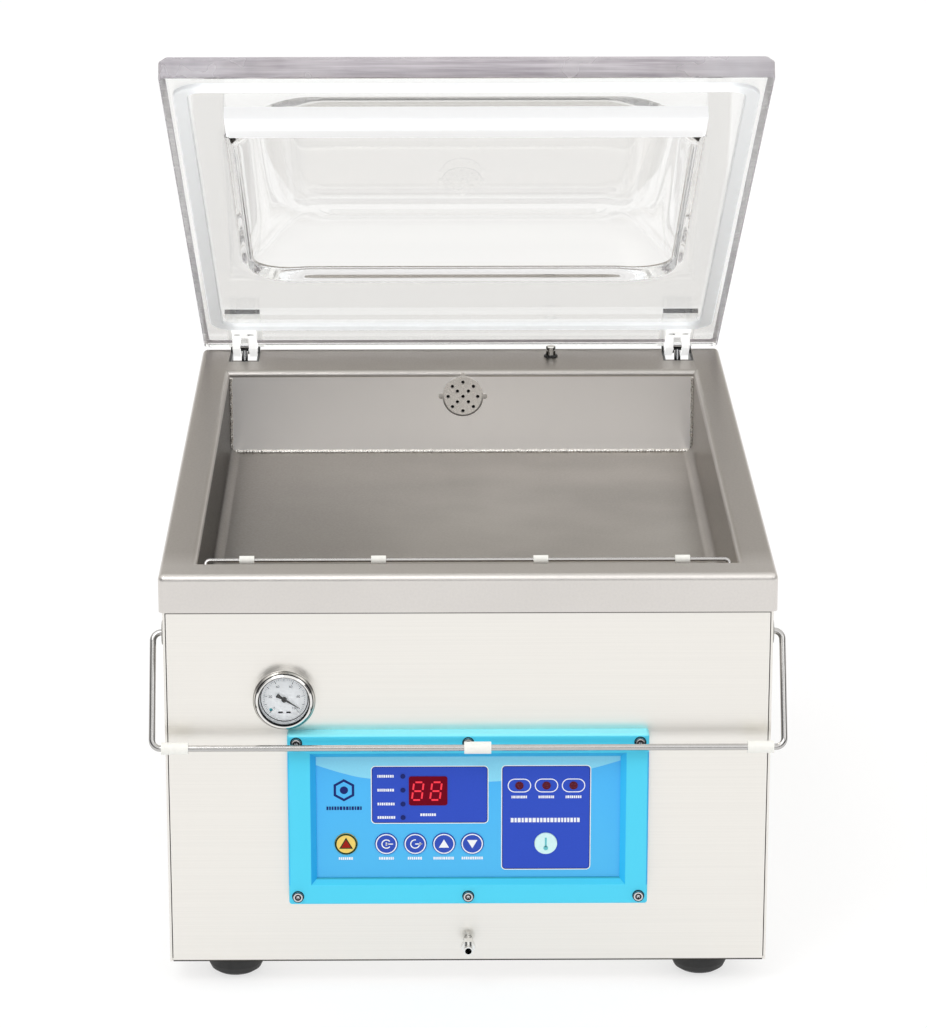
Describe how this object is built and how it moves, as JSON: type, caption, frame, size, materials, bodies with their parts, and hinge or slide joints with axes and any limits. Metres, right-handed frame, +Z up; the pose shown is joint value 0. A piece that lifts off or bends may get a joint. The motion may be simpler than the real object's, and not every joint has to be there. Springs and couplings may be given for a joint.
{
  "type": "vacuum packing machine",
  "caption": "Table-top chamber vacuum packing machine with a clear domed lid, seal bar, gauge, keypad and front bag bail.",
  "frame": {"origin": "on the table under the middle of the machine's outline, bail and open lid included; the middle of the rim is 4 mm behind it", "axes": "+X to the machine's right, +Y to its back where the lid hinges, +Z up"},
  "size_m": [0.342, 0.4848, 0.4997],
  "materials": {
    "casing_steel": "brushed",
    "chamber_steel": "satin",
    "weld_metal": "bright weld bead",
    "foot_rubber": "matt",
    "hose_rubber": "matt",
    "bar_aluminium": "extruded",
    "cylinder_aluminium": "turned",
    "seal_tape": "glass cloth tape",
    "wire_steel": "drawn wire",
    "sleeve_plastic": "matt",
    "bush_plastic": "matt",
    "frame_blue": "moulded, semi-gloss",
    "membrane_blue": "printed film",
    "display_red": "tinted window",
    "lamp_red": "clear lens",
    "screw_steel": "bright",
    "board_green": "solder mask",
    "gauge_black": "satin",
    "bezel_chrome": "polished",
    "dial_white": "printed",
    "gauge_glass": "clear",
    "needle_black": "matt",
    "nipple_chrome": "plated",
    "hinge_black": "satin",
    "pin_steel": "ground",
    "strut_black": "gloss",
    "rod_chrome": "polished",
    "pump_iron": "painted casting",
    "motor_paint": "satin",
    "valve_brass": "machined",
    "switch_black": "moulded",
    "plunger_steel": "turned",
    "inlet_black": "moulded",
    "rocker_red": "moulded",
    "key_yellow": "printed film",
    "key_blue": "printed film",
    "key_aqua": "printed film",
    "lid_acrylic": "polished clear acrylic",
    "gasket_silicone": "translucent silicone",
    "bar_white": "moulded",
    "strip_silicone": "silicone",
    "clevis_steel": "satin",
    "strap_steel": "satin",
    "bolt_steel": "bright"
  },
  "bodies": {
    "root": {"base_plate": "casing_steel", "rear_panel": "casing_steel", "side_panel_left": "casing_steel", "side_panel_right": "casing_steel", "front_panel": "casing_steel", "rim_frame": "chamber_steel", "chamber_tub": "chamber_steel", "vent_disc": "chamber_steel", "weld_beads": "weld_metal", "feet": "foot_rubber", "suction_hose": "hose_rubber", "lift_cylinders": "cylinder_aluminium", "bag_rod_bushes": "bush_plastic", "bail_bushes": "bush_plastic", "control_frame": "frame_blue", "membrane_plate": "membrane_blue", "display": "display_red", "indicator_lamps": "lamp_red", "panel_screws": "screw_steel", "control_board": "board_green", "gauge_case": "gauge_black", "gauge_bezel": "bezel_chrome", "gauge_dial": "dial_white", "gauge_glass": "gauge_glass", "air_nipple": "nipple_chrome", "hinge_base_left": "hinge_black", "hinge_base_right": "hinge_black", "hinge_pins": "pin_steel", "strut_cylinders": "strut_black", "vacuum_pump": "pump_iron", "pump_motor": "motor_paint", "solenoid_valves": "valve_brass", "lid_switch": "switch_black", "switch_housing": "inlet_black", "power_inlet": "inlet_black"},
    "lid": {"lid": "lid_acrylic", "lid_gasket": "gasket_silicone", "pressure_bar": "bar_white", "silicone_strip": "strip_silicone", "hinge_clevises": "clevis_steel", "strut_pins": "pin_steel", "clamp_straps": "strap_steel", "clevis_bolts": "bolt_steel"},
    "strut_rod_left": {"strut_rod_left": "rod_chrome"},
    "strut_rod_right": {"strut_rod_right": "rod_chrome"},
    "seal_bar": {"seal_bar": "bar_aluminium", "heating_element": "seal_tape"},
    "bag_rod": {"bag_rod": "wire_steel", "bag_rod_sleeves": "sleeve_plastic"},
    "bail": {"bail": "wire_steel", "bail_sleeves": "sleeve_plastic"},
    "plunger": {"switch_plunger": "plunger_steel"},
    "rocker": {"power_rocker": "rocker_red"},
    "needle": {"gauge_needle": "needle_black"},
    "key_stop": {"key_stop": "key_yellow"},
    "key_vacuum": {"key_vacuum": "key_blue"},
    "key_seal": {"key_seal": "key_blue"},
    "key_plus": {"key_plus": "key_blue"},
    "key_minus": {"key_minus": "key_blue"},
    "key_heat": {"key_heat": "key_aqua"}
  },
  "joints": [
    {"name": "lid_hinge", "type": "hinge", "parent": "root", "child": "lid", "pos_m": [0, 0.23, 0.2365], "axis": [1, 0, 0], "range_deg": [0, 33.3], "stiffness_Nm_per_rad": 4, "springref_deg": -148.97},
    {"name": "strut_slide_left", "type": "slide", "parent": "root", "child": "strut_rod_left", "axis": [0, -0.2414, -0.9704], "range_m": [0, 0.00744]},
    {"name": "strut_slide_right", "type": "slide", "parent": "root", "child": "strut_rod_right", "axis": [0, -0.2414, -0.9704], "range_m": [0, 0.00744]},
    {"name": "seal_bar_lift", "type": "slide", "parent": "root", "child": "seal_bar", "axis": [0, 0, 1], "range_m": [0, 0.008]},
    {"name": "bag_rod_swing", "type": "hinge", "parent": "root", "child": "bag_rod", "pos_m": [0, -0.199, 0.222], "axis": [-1, 0, 0], "range_deg": [0, 45], "stiffness_Nm_per_rad": 0.004, "springref_deg": -57.3},
    {"name": "bail_swing", "type": "hinge", "parent": "root", "child": "bail", "pos_m": [0, -0.209, 0.199], "axis": [-1, 0, 0], "range_deg": [0, 125]},
    {"name": "lid_switch_press", "type": "slide", "parent": "root", "child": "plunger", "axis": [0, 0, -1], "range_m": [0, 0.0042]},
    {"name": "power_rocker_tilt", "type": "hinge", "parent": "root", "child": "rocker", "pos_m": [-0.06, 0.23, 0.048], "axis": [1, 0, 0], "range_deg": [0, 14]},
    {"name": "gauge_needle_turn", "type": "hinge", "parent": "root", "child": "needle", "pos_m": [-0.0985, -0.2291, 0.168], "axis": [0, -1, 0], "range_deg": [0, 244], "stiffness_Nm_per_rad": 0.0001, "springref_deg": -28.65},
    {"name": "key_stop_press", "type": "slide", "parent": "root", "child": "key_stop", "axis": [0, 1, 0], "range_m": [0, 0.0005], "stiffness_N_per_m": 1500, "springref_m": -0.0002},
    {"name": "key_vacuum_press", "type": "slide", "parent": "root", "child": "key_vacuum", "axis": [0, 1, 0], "range_m": [0, 0.0005], "stiffness_N_per_m": 1500, "springref_m": -0.0002},
    {"name": "key_seal_press", "type": "slide", "parent": "root", "child": "key_seal", "axis": [0, 1, 0], "range_m": [0, 0.0005], "stiffness_N_per_m": 1500, "springref_m": -0.0002},
    {"name": "key_plus_press", "type": "slide", "parent": "root", "child": "key_plus", "axis": [0, 1, 0], "range_m": [0, 0.0005], "stiffness_N_per_m": 1500, "springref_m": -0.0002},
    {"name": "key_minus_press", "type": "slide", "parent": "root", "child": "key_minus", "axis": [0, 1, 0], "range_m": [0, 0.0005], "stiffness_N_per_m": 1500, "springref_m": -0.0002},
    {"name": "key_heat_press", "type": "slide", "parent": "root", "child": "key_heat", "axis": [0, 1, 0], "range_m": [0, 0.0005], "stiffness_N_per_m": 1500, "springref_m": -0.0002}
  ],
  "couplings": [
    {"joint": "strut_slide_left", "follows": "lid_hinge", "m_per_rad": 0.012634},
    {"joint": "strut_slide_right", "follows": "lid_hinge", "m_per_rad": 0.012634},
    {"joint": "lid_switch_press", "follows": "lid_hinge", "m_per_rad": 0.006882}
  ]
}
